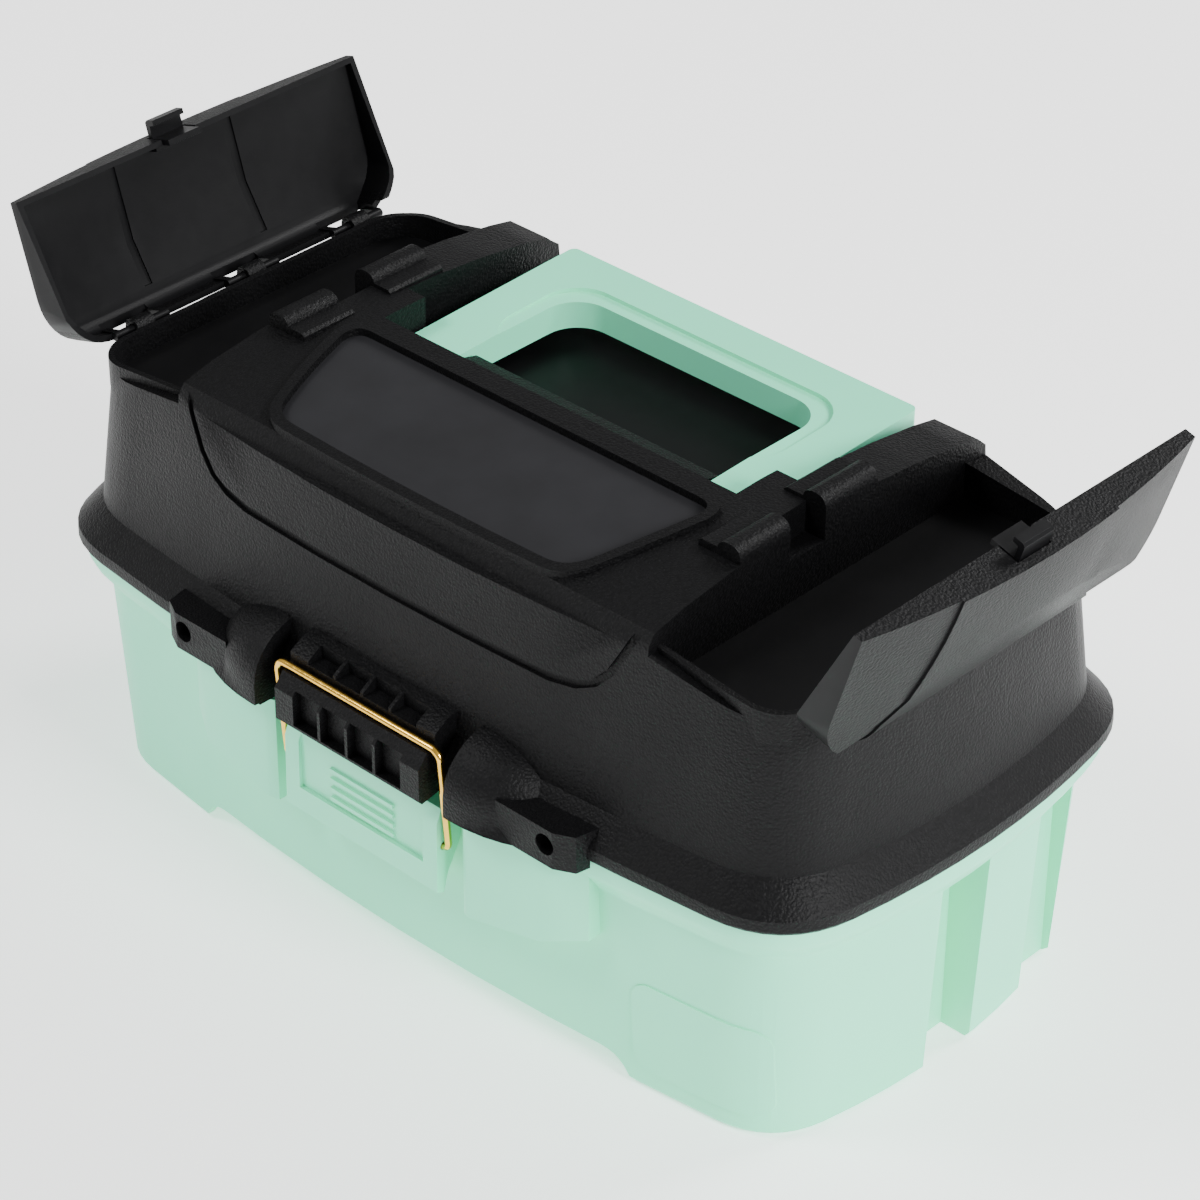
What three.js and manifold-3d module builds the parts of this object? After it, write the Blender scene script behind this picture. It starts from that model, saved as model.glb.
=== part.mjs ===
// Fishing tackle box: a tapered tub, a deep lid with two lidded bins in its top, a folding
// handle, a wire draw latch and two trays that rise on parallel arms as the lid opens.
// Millimetres. +X runs to the right-hand end, -Y is the front, +Z is up, and the origin is
// on the surface under the middle of the box. The lid is shut and both bin covers are open.
import * as THREE from "three";
import { mergeVertices } from "three/addons/utils/BufferGeometryUtils.js";
import Module from "manifold-3d";

const wasm = await Module();
wasm.setup();

// ---------------------------------------------------------------- driving sizes
const FIT = 0.3; // gap between touching pieces
const SLACK = 0.6; // running gap in hinges
const HALF_LENGTH = 206.5; // skirt of the lid, middle of an end
const HALF_DEPTH = 113.8; // skirt of the lid, middle of the front
const END_BOW = 12.9; // how far the ends bulge
const SIDE_BOW = 13.5; // how far the front and back bulge
const CORNER = 31;
const LINE_Z = 107; // where the lid meets the base
const WALL = 2.8;

const BASE_FOOT_INSET = 13.5; // the base's bottom outline, in from the skirt
const BASE_TOP_INSET = 9.5; // the same just under the flared rim
const RIM_INSET = 2.2; // the flared rim, in from the skirt
const RIM_Z = 87; // where the flare starts
const FLOOR_Z = 15;
const FLOOR_THICK = 3;
const ARCH_FOOT_X = HALF_LENGTH - 86.5;
const ARCH_TOP_X = ARCH_FOOT_X - 12;
const ARCH_HEIGHT = 11;
const LABEL_X = [ARCH_FOOT_X, ARCH_FOOT_X + 58];
const LABEL_Z = [10, 52];
const LABEL_RISE = 0.4;
const END_GROOVE_X = HALF_LENGTH - 27.5; // back face of the upright end grooves
const END_GROOVE_WIDTH = 27;
const END_GROOVE_TOP = 88;
const END_GROOVE_PLACES = [-1, 60];

const SKIRT_TOP_Z = 115; // top of the skirt's upright band
const SHOULDER_Z = 123.5; // where the sloping shoulder meets the wall
const WALL_INSET = 9; // the lid wall at the shoulder, in from the skirt
const WALL_TOP_INSET = 15; // the lid wall at LEDGE_Z
const LID_WALL = 2.6;
const LEDGE_Z = 183; // outer edge of the bins' ledge
const LEDGE_RISE = 10; // the ledge climbs this much towards the middle
const BIN_LENGTH = 56; // along X
const CENTRE_HALF = HALF_LENGTH - BIN_LENGTH - 28.5; // half width of the middle of the lid
const CROWN_Z = 210.5; // top of the crown, at mid depth
const CROWN_DROP = 9; // the crown falls this much to its front and back edges
const CROWN_REACH = HALF_DEPTH - 22.8;
const PLATE_RISE = 2.2; // frame of the label plate, above the crown
const PLATE_SUNK = 1; // its face, below the crown
const PLATE_FRAME = 4.5;
const GROOVE_WIDTH = 3.4; // groove round the middle of the lid's front
const GROOVE_DEEP = 1.3;
const GROOVE_Z = 165.5;

const BIN_FRONT = -HALF_DEPTH + 28.8;
const BIN_BACK = HALF_DEPTH - 33.8;
const BIN_WALL = 2.6;
const BIN_FLOOR_Z = 179.5;
const BIN_RIM_Z = [195, 189.5]; // the rim's top, at the middle of the lid and at the hinge
const BIN_CORNER = 16;

const RECESS_FRONT = -13;
const RECESS_FLOOR_Z = 179.5;

const COVER_HINGE_X = CENTRE_HALF + BIN_LENGTH + 8;
const COVER_HINGE_Z = 187;
const COVER_OPEN = 107; // degrees open, as the covers stand at rest
const COVER_THICK = 2.2;
const COVER_TOP = 15.5; // top of the cover above its hinge axis
const COVER_FREE_DEPTH = 10; // depth of the lip along the free edge
const COVER_FRONT = BIN_FRONT - BIN_WALL - 4.4;
const COVER_BACK = BIN_BACK + BIN_WALL + 4.4;
const COVER_PIN_R = 1.8;
const COVER_HINGE_PLACES = [-56, 3, 61];
const COVER_SLOT = 24;
const COVER_HOOK = 9;
const CLIP_Y = -9; // middle of the covers' snap clips
const CLIP_TONGUE = 16;
const CLIP_REACH = 7.4; // how far the clip stands out from the free edge
const COVER_CHANNELS = [-38, 24];
const COVER_CHANNEL_DEEP = 0.9;
const COVER_STEP = 0.9; // the ends of a cover are this much lower than its middle band
const COVER_BAND = [-48, 34]; // the band's edges at the free edge; it widens towards the hinge
const COVER_SLOT_TOP = 11.5; // top of the hinge slots above the axis

const HANDLE_PIVOT_Y = -2;
const HANDLE_PIVOT_Z = 190.5;
const HANDLE_OUTER = 90;
const RECESS_HALF = HANDLE_OUTER + 11; // the well that the handle folds into
const HANDLE_INNER = 65.5;
const HANDLE_BACK = HALF_DEPTH - 22.8;
const HANDLE_GRIP = 24;
const HANDLE_TOP_Z = 200.5;
const HANDLE_DEEP = 14;
const HANDLE_SKIN = 2.6;
const HANDLE_SCOOP = 6.5;
const TRUNNION_R = 4;
const TRUNNION_LONG = 5;

const HINGE_Y = HALF_DEPTH + 0.7; // lid hinge axis
const KNUCKLE_R = 4.2;
const PIN_R = 1.6;
const HINGE_PLACES = [-105, 105];
const KNUCKLE_LONG = 16;

const LATCH_HALF = 38.5; // half width of the catch block
const CATCH_CHEEK = 9; // solid ends of the catch block, beside its cells
const CATCH_RIB = 1.5; // ribs between the cells
const CATCH_FRONT = -HALF_DEPTH - 9.9;
const CATCH_BOTTOM = 102.5;
const CATCH_TOP = 121;
const BAIL_HALF = 43.5;
const BAIL_R = 1.5;
const BAIL_TOP_Z = 125.5;
const BAIL_Y = -HALF_DEPTH - 3.5;
const BAIL_END_Z = 80.5;
const BAIL_END_Y = -HALF_DEPTH - 0.2;
const LEVER_HALF = 41;
const LEVER_PIVOT_Y = -HALF_DEPTH + 4.8;
const LEVER_PIVOT_Z = 94;
const LEVER_BOTTOM = 59;
const LEVER_COLUMN = 7.5;
const LEVER_PIN_R = 1.6;
const BOSS_INNER = 50.5; // bosses on the base beside the lever
const BOSS_OUTER = 106;
const BOSS_FRONT = -HALF_DEPTH - 1.7;
const BOSS_BOTTOM = 62;
const EAR_INNER = 50.5; // ears on the lid above the bosses
const EAR_OUTER = 86;
const EAR_FRONT = -HALF_DEPTH - 9.7;
const DOME_TOP = 134;
const DOME_DEEP = 24.5;
const BRIM_WIDE = 11;
const BRIM_HIGH = 9;
const DOME_START = LINE_Z + 5; // the ears are upright below this and domed above
const HOLE_X = 96.7; // padlock holes
const HOLE_Z = 112.6;
const HOLE_R = 4.4;

const TRAY_HALF = HALF_LENGTH - 41.5;
const TRAY_FRONT = -HALF_DEPTH + 29.8;
const TRAY_BACK = HALF_DEPTH - 79.8;
const TRAY_HIGH = 40;
const TRAY_WALL = 2;
const TRAY_CORNER = 9;
const LOWER_TRAY_Z = 74;
const UPPER_TRAY_Z = 117;
const ARM_X = TRAY_HALF + 4.5; // inner face of the arms
const ARM_THICK = 3;
const ARM_WIDE = 9;
const ARM_REACH = 100; // arm pivot to upper tray, and lid hinge to upper tray
const ARM_LOWER = 42; // arm pivot to lower tray
const ARM_ANGLE = 15; // degrees above level, pointing forward, lid shut
const ARM_PIVOT_Y = [HALF_DEPTH - 85.8, HALF_DEPTH - 45.8];
const ARM_PIVOT_Z = 96;
const STUD_R = 2.2;
const POST = 32; // longest that a pivot boss on the wall can be

// ---------------------------------------------------------------- helpers
const V2 = (x, y) => new THREE.Vector2(x, y);
const rad = THREE.MathUtils.degToRad;

function solid(geometry) {
  const bare = geometry.index ? geometry.toNonIndexed() : geometry.clone();
  bare.deleteAttribute("normal");
  bare.deleteAttribute("uv");
  const merged = mergeVertices(bare, 1e-4);
  return new wasm.Manifold(
    new wasm.Mesh({
      numProp: 3,
      vertProperties: merged.attributes.position.array,
      triVerts: new Uint32Array(merged.index.array),
    }),
  );
}

function geometryOf(manifold) {
  const mesh = manifold.getMesh();
  const points = [];
  for (let i = 0; i < mesh.vertProperties.length; i += mesh.numProp) {
    points.push(...mesh.vertProperties.subarray(i, i + 3));
  }
  const geometry = new THREE.BufferGeometry();
  geometry.setAttribute("position", new THREE.Float32BufferAttribute(points, 3));
  geometry.setIndex([...mesh.triVerts]);
  const flat = geometry.toNonIndexed();
  flat.computeVertexNormals();
  return flat;
}

// A block between two corners.
function block(x0, x1, y0, y1, z0, z1) {
  const box = new THREE.BoxGeometry(x1 - x0, y1 - y0, z1 - z0);
  return solid(box.translate((x0 + x1) / 2, (y0 + y1) / 2, (z0 + z1) / 2));
}

// A round bar along x, y or z through a middle point.
function bar(radius, length, axis, at, sides = 14) {
  const round = new THREE.CylinderGeometry(radius, radius, length, sides);
  if (axis === "x") round.rotateZ(Math.PI / 2);
  if (axis === "z") round.rotateX(Math.PI / 2);
  return solid(round.translate(...at));
}

// A shape drawn in Y and Z, carried along X.
function alongX(shape, x0, x1, curveSegments = 5) {
  const form = new THREE.ExtrudeGeometry(shape, { depth: x1 - x0, bevelEnabled: false, curveSegments });
  form.applyMatrix4(
    new THREE.Matrix4().makeBasis(
      new THREE.Vector3(0, 1, 0),
      new THREE.Vector3(0, 0, 1),
      new THREE.Vector3(1, 0, 0),
    ),
  );
  return solid(form.translate(x0, 0, 0));
}

// A shape drawn in X and Z, carried along Y.
function alongY(shape, y0, y1, curveSegments = 5) {
  const form = new THREE.ExtrudeGeometry(shape, { depth: y1 - y0, bevelEnabled: false, curveSegments });
  form.rotateX(Math.PI / 2);
  return solid(form.translate(0, y1, 0));
}

// A shape drawn in X and Y, carried up.
function upward(shape, z0, z1, curveSegments = 5) {
  const form = new THREE.ExtrudeGeometry(shape, { depth: z1 - z0, bevelEnabled: false, curveSegments });
  return solid(form.translate(0, 0, z0));
}

function polygon(points) {
  return new THREE.Shape(points.map((p) => V2(...p)));
}

function roundedRect(x0, x1, y0, y1, r) {
  const shape = new THREE.Shape();
  shape.moveTo(x0 + r, y0);
  shape.lineTo(x1 - r, y0);
  shape.absarc(x1 - r, y0 + r, r, -Math.PI / 2, 0);
  shape.lineTo(x1, y1 - r);
  shape.absarc(x1 - r, y1 - r, r, 0, Math.PI / 2);
  shape.lineTo(x0 + r, y1);
  shape.absarc(x0 + r, y1 - r, r, Math.PI / 2, Math.PI);
  shape.lineTo(x0, y0 + r);
  shape.absarc(x0 + r, y0 + r, r, Math.PI, Math.PI * 1.5);
  return shape;
}

// The box's plan, set in from the lid skirt: four bowed sides and four rounded corners.
function plan(inset) {
  const a = HALF_LENGTH - inset;
  const b = HALF_DEPTH - inset;
  const yc = b - SIDE_BOW;
  const xc = a - END_BOW;
  const r = CORNER - inset / 2;
  const y1 = yc - r;
  const x1 = a - END_BOW * (y1 / yc) ** 2;
  const x2 = xc - r;
  const y2 = b - SIDE_BOW * (x2 / xc) ** 2;
  const slopeEnd = (-2 * END_BOW * y1) / yc ** 2;
  const slopeSide = (-2 * SIDE_BOW * x2) / xc ** 2;
  const t = (y2 - y1 + slopeSide * (x1 - x2)) / (1 - slopeSide * slopeEnd);
  const kx = x1 + slopeEnd * t;
  const ky = y1 + t;
  const shape = new THREE.Shape();
  shape.moveTo(x1, -y1);
  shape.quadraticCurveTo(2 * a - x1, 0, x1, y1);
  shape.quadraticCurveTo(kx, ky, x2, y2);
  shape.quadraticCurveTo(0, 2 * b - y2, -x2, y2);
  shape.quadraticCurveTo(-kx, ky, -x1, y1);
  shape.quadraticCurveTo(x1 - 2 * a, 0, -x1, -y1);
  shape.quadraticCurveTo(-kx, -ky, -x2, -y2);
  shape.quadraticCurveTo(0, y2 - 2 * b, x2, -y2);
  shape.quadraticCurveTo(kx, -ky, x1, -y1);
  return shape;
}

// A body whose plan is set in by a different amount at each height: levels are [z, inset].
function tub(levels) {
  const first = levels[0][1];
  const steps = levels.length - 1;
  const form = new THREE.ExtrudeGeometry(plan(first), {
    depth: steps,
    steps,
    bevelEnabled: false,
    curveSegments: 8,
  });
  const place = form.attributes.position;
  for (let i = 0; i < place.count; i += 1) {
    const [z, inset] = levels[Math.round(place.getZ(i))];
    place.setX(i, (place.getX(i) * (HALF_LENGTH - inset)) / (HALF_LENGTH - first));
    place.setY(i, (place.getY(i) * (HALF_DEPTH - inset)) / (HALF_DEPTH - first));
    place.setZ(i, z);
  }
  return solid(form);
}

const unionOf = (list) => list.reduce((whole, next) => whole.add(next));
const mirrorX = (manifold) => {
  const form = geometryOf(manifold).scale(-1, 1, 1);
  const place = form.attributes.position;
  for (let i = 0; i < place.count; i += 3) {
    const [x, y, z] = [place.getX(i), place.getY(i), place.getZ(i)];
    place.setXYZ(i, place.getX(i + 1), place.getY(i + 1), place.getZ(i + 1));
    place.setXYZ(i + 1, x, y, z);
  }
  return solid(form);
};
const bothSides = (manifold) => manifold.add(mirrorX(manifold));

// How far the wall of the lid is set in from the skirt at height z.
function lidInset(z) {
  return WALL_INSET + ((z - SHOULDER_Z) * (WALL_TOP_INSET - WALL_INSET)) / (LEDGE_Z - SHOULDER_Z);
}

// Height of the crown at depth y.
const crownAt = (y) => CROWN_Z - CROWN_DROP * (y / CROWN_REACH) ** 2;

// A slab over the front half of the crown, between two heights measured from it.
function crownSlab(low, high) {
  const step = CROWN_REACH / 7;
  const under = [];
  const over = [];
  for (let i = 0; i <= 7; i += 1) {
    const y = -CROWN_REACH + step * i;
    under.push([y, crownAt(y) + low]);
    over.unshift([y, crownAt(y) + high]);
  }
  return alongX(polygon([...under, ...over]), -CENTRE_HALF, CENTRE_HALF);
}

// ---------------------------------------------------------------- base
function baseShell() {
  const lipZ = LINE_Z - FIT;
  const flare = [
    [RIM_Z, BASE_TOP_INSET],
    [RIM_Z + 3, BASE_TOP_INSET - 1.6],
    [RIM_Z + 9, RIM_INSET + 1.6],
    [RIM_Z + 13, RIM_INSET],
    [lipZ, RIM_INSET - 0.4],
  ];
  const outer = tub([[0, BASE_FOOT_INSET + 2], [2.5, BASE_FOOT_INSET], ...flare]);
  const inner = tub([
    [FLOOR_Z, BASE_FOOT_INSET + WALL - 0.6],
    ...flare.map(([z, inset]) => [z + 0.01, inset + WALL]),
    [lipZ + 5, RIM_INSET + WALL],
  ]);
  const under = tub([
    [-1, BASE_FOOT_INSET + WALL + 2],
    [FLOOR_Z - FLOOR_THICK, BASE_FOOT_INSET + WALL + 0.8],
  ]);
  const grooves = [];
  const linings = [];
  for (const y of END_GROOVE_PLACES) {
    const half = END_GROOVE_WIDTH / 2;
    const far = HALF_LENGTH + 5;
    grooves.push(block(END_GROOVE_X, far, y - half, y + half, -1, END_GROOVE_TOP));
    linings.push(
      block(END_GROOVE_X - WALL, far, y - half - WALL, y + half + WALL, -2, END_GROOVE_TOP + WALL),
    );
  }
  const groove = bothSides(unionOf(grooves));
  const lining = bothSides(unionOf(linings));
  const arch = new THREE.Shape();
  arch.moveTo(-ARCH_FOOT_X, -1);
  arch.lineTo(-ARCH_FOOT_X + 3, 3);
  arch.quadraticCurveTo(-ARCH_TOP_X - 5, ARCH_HEIGHT, -ARCH_TOP_X + 4, ARCH_HEIGHT);
  arch.lineTo(ARCH_TOP_X - 4, ARCH_HEIGHT);
  arch.quadraticCurveTo(ARCH_TOP_X + 5, ARCH_HEIGHT, ARCH_FOOT_X - 3, 3);
  arch.lineTo(ARCH_FOOT_X, -1);
  const archCut = alongY(arch, -HALF_DEPTH, HALF_DEPTH);

  // Bosses beside the latch lever, with a bore for its pin.
  const front = new THREE.Shape();
  front.moveTo(BOSS_INNER, BOSS_BOTTOM - 8);
  front.quadraticCurveTo((BOSS_INNER + BOSS_OUTER) / 2, BOSS_BOTTOM - 2, BOSS_OUTER, BOSS_BOTTOM + 4);
  front.lineTo(BOSS_OUTER, LINE_Z - 6);
  front.lineTo(BOSS_INNER, LINE_Z - 6);
  const bossTop = polygon([
    [BOSS_INNER, BOSS_FRONT + 2],
    [BOSS_INNER + 4, BOSS_FRONT],
    [BOSS_OUTER - 16, BOSS_FRONT + 1.5],
    [BOSS_OUTER, BOSS_FRONT + 11],
    [BOSS_OUTER, BOSS_FRONT + 25.5],
    [BOSS_INNER, BOSS_FRONT + 25.5],
  ]);
  const bossFront = alongY(front, BOSS_FRONT - 5, BOSS_FRONT + 25.5);
  const bosses = bothSides(bossFront.intersect(upward(bossTop, 40, LINE_Z - 5)));
  const shaped = outer
    .add(bosses)
    .subtract(inner.subtract(lining))
    .subtract(under.subtract(lining))
    .subtract(groove)
    .subtract(archCut);
  // A blank raised panel, where a label would go, on the right front foot.
  const panel = alongY(roundedRect(...LABEL_X, ...LABEL_Z, 8), -HALF_DEPTH - 6, -HALF_DEPTH + 54);
  const grown = tub([
    [2.5, BASE_FOOT_INSET - LABEL_RISE],
    [RIM_Z, BASE_TOP_INSET - LABEL_RISE],
  ]);
  const label = grown.intersect(panel).subtract(inner).subtract(under);
  const leverPin = bar(LEVER_PIN_R + FIT, 2 * (LEVER_HALF + 14), "x", [0, LEVER_PIVOT_Y, LEVER_PIVOT_Z]);
  // A shallow pocket in the wall behind the lever, closed again by a lining inside.
  const pocket = block(
    -BOSS_INNER,
    BOSS_INNER,
    BOSS_FRONT - 5,
    LEVER_PIVOT_Y + 5.6,
    BOSS_BOTTOM - 14,
    LINE_Z + 1,
  );
  const pocketBack = block(
    -BOSS_INNER - 1,
    BOSS_INNER + 1,
    LEVER_PIVOT_Y + 5.6,
    LEVER_PIVOT_Y + 5.6 + WALL,
    FLOOR_Z,
    lipZ,
  ).intersect(outer);
  const studs = [];
  for (const y of ARM_PIVOT_Y) {
    studs.push(bar(6.5, POST, "x", [ARM_X + ARM_THICK + SLACK + POST / 2, y, ARM_PIVOT_Z]));
    studs.push(bar(STUD_R, ARM_THICK + 3, "x", [ARM_X + 1.2 + ARM_THICK / 2, y, ARM_PIVOT_Z], 16));
  }
  const studBlock = bothSides(unionOf(studs)).intersect(outer);

  // Two knuckles at each hinge station; the lid's knuckle stands between them.
  const knuckles = [];
  const gaps = [];
  for (const x of HINGE_PLACES) {
    for (const side of [-1, 1]) {
      const at = x + side * (KNUCKLE_LONG + SLACK);
      knuckles.push(bar(KNUCKLE_R, KNUCKLE_LONG, "x", [at, HINGE_Y, LINE_Z]));
      knuckles.push(
        block(at - KNUCKLE_LONG / 2, at + KNUCKLE_LONG / 2, HINGE_Y - 13, HINGE_Y, LINE_Z - 9, LINE_Z - 1),
      );
    }
    gaps.push(
      block(
        x - KNUCKLE_LONG / 2 - SLACK,
        x + KNUCKLE_LONG / 2 + SLACK,
        HINGE_Y - KNUCKLE_R - 1,
        HINGE_Y + 9,
        LINE_Z - 12,
        LINE_Z + 9,
      ),
    );
  }
  const pinBore = bar(PIN_R + FIT, 2 * HALF_LENGTH, "x", [0, HINGE_Y, LINE_Z]);
  return shaped
    .subtract(pocket)
    .add(pocketBack)
    .add(unionOf(knuckles))
    .subtract(unionOf(gaps))
    .subtract(pinBore)
    .subtract(leverPin)
    .add(label)
    .add(studBlock);
}

// ---------------------------------------------------------------- lid
function binBox(grow, z0, z1) {
  const shape = roundedRect(
    CENTRE_HALF - (grow > 0 ? 1 : 0),
    CENTRE_HALF + BIN_LENGTH + grow,
    BIN_FRONT - grow,
    BIN_BACK + grow,
    BIN_CORNER + grow,
  );
  const square = block(
    CENTRE_HALF - (grow > 0 ? 1 : 0),
    CENTRE_HALF + BIN_CORNER + 4,
    BIN_FRONT - grow,
    BIN_BACK + grow,
    z0,
    z1,
  );
  return upward(shape, z0, z1).add(square);
}

function plateShape(grow) {
  const shape = new THREE.Shape();
  shape.moveTo(-66, -85 - grow);
  shape.quadraticCurveTo(0, -87.5 - grow, 66, -85 - grow);
  shape.quadraticCurveTo(75 + grow, -84.5 - grow, 79 + grow, -76);
  shape.quadraticCurveTo(86 + grow, -58, 92 + grow, -34);
  shape.quadraticCurveTo(93 + grow, -26 + grow, 85, -26 + grow);
  shape.lineTo(-85, -26 + grow);
  shape.quadraticCurveTo(-93 - grow, -26 + grow, -92 - grow, -34);
  shape.quadraticCurveTo(-86 - grow, -58, -79 - grow, -76);
  shape.quadraticCurveTo(-75 - grow, -84.5 - grow, -66, -85 - grow);
  return shape;
}

function catchBlock() {
  // The block that the wire bail hooks over: a front block, a gutter for the wire, a rear block.
  const side = polygon([
    [CATCH_FRONT + 24, CATCH_BOTTOM + 4],
    [CATCH_FRONT + 1.5, CATCH_BOTTOM],
    [CATCH_FRONT, CATCH_BOTTOM + 1.5],
    [CATCH_FRONT, CATCH_TOP - 3],
    [BAIL_Y - BAIL_R - 1.2, CATCH_TOP + 1.5],
    [BAIL_Y - BAIL_R - 0.5, BAIL_TOP_Z - BAIL_R - FIT],
    [BAIL_Y + BAIL_R + 0.5, BAIL_TOP_Z - BAIL_R - FIT],
    [BAIL_Y + BAIL_R + 1, CATCH_TOP + 9],
    [BAIL_Y + 9.3, CATCH_TOP + 13],
    [BAIL_Y + 19.3, CATCH_TOP + 15],
    [BAIL_Y + 21.3, CATCH_BOTTOM + 9.5],
  ]);
  let form = alongX(side, -LATCH_HALF, LATCH_HALF);
  const cell = (LATCH_HALF - CATCH_CHEEK) / 2;
  for (let i = -2; i < 2; i += 1) {
    const x0 = cell * i + CATCH_RIB / 2;
    const x1 = cell * (i + 1) - CATCH_RIB / 2;
    const low = block(x0, x1, CATCH_FRONT - 1, CATCH_FRONT + 4.1, CATCH_BOTTOM + 2.6, CATCH_TOP - 1);
    const high = block(x0, x1, BAIL_Y - 1, BAIL_Y + 9.3, CATCH_TOP + 7.5, CATCH_TOP + 20);
    form = form.subtract(low).subtract(high);
  }
  return form;
}

// A low pad with a round knuckle along the edge of the bin.
function landingPad(y0, y1, ground) {
  const step = CENTRE_HALF - 11;
  const shape = new THREE.Shape();
  shape.moveTo(step - 9, ground - 4);
  shape.lineTo(step - 9, ground + 0.8);
  shape.lineTo(step - 7.6, ground + 1.8);
  shape.lineTo(step, ground + 1.8);
  shape.quadraticCurveTo(step + 0.6, ground + 5.4, step + 5.5, ground + 5.4);
  shape.quadraticCurveTo(CENTRE_HALF, ground + 5.2, CENTRE_HALF, ground);
  shape.lineTo(CENTRE_HALF, ground - 4);
  return alongY(shape, y0, y1, 5);
}

// A round-nosed ear: upright at the foot and domed above, cut flat on the side of the latch.
function ear() {
  const at = [EAR_INNER + 2, EAR_FRONT + DOME_DEEP];
  const wide = EAR_OUTER - at[0];
  const dome = new THREE.SphereGeometry(1, 32, 16).rotateX(Math.PI / 2);
  dome.scale(wide, DOME_DEEP, DOME_TOP - DOME_START).translate(...at, DOME_START);
  const high = DOME_START - CATCH_BOTTOM - 1;
  const foot = new THREE.CylinderGeometry(1, 1, high, 32).rotateX(Math.PI / 2);
  foot.scale(wide, DOME_DEEP, 1).translate(...at, DOME_START - high / 2);
  // A sloping brim spreads from the foot towards the padlock tab.
  const brim = new THREE.CylinderGeometry(0.82, 1, BRIM_HIGH, 32).rotateX(Math.PI / 2);
  brim.scale(wide + BRIM_WIDE, DOME_DEEP, 1).translate(...at, CATCH_BOTTOM + 1 + BRIM_HIGH / 2);
  const keep = block(EAR_INNER, HOLE_X, EAR_FRONT - 1, -CROWN_REACH, CATCH_BOTTOM, DOME_TOP + 1);
  return solid(dome).add(solid(foot)).add(solid(brim)).intersect(keep);
}

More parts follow.
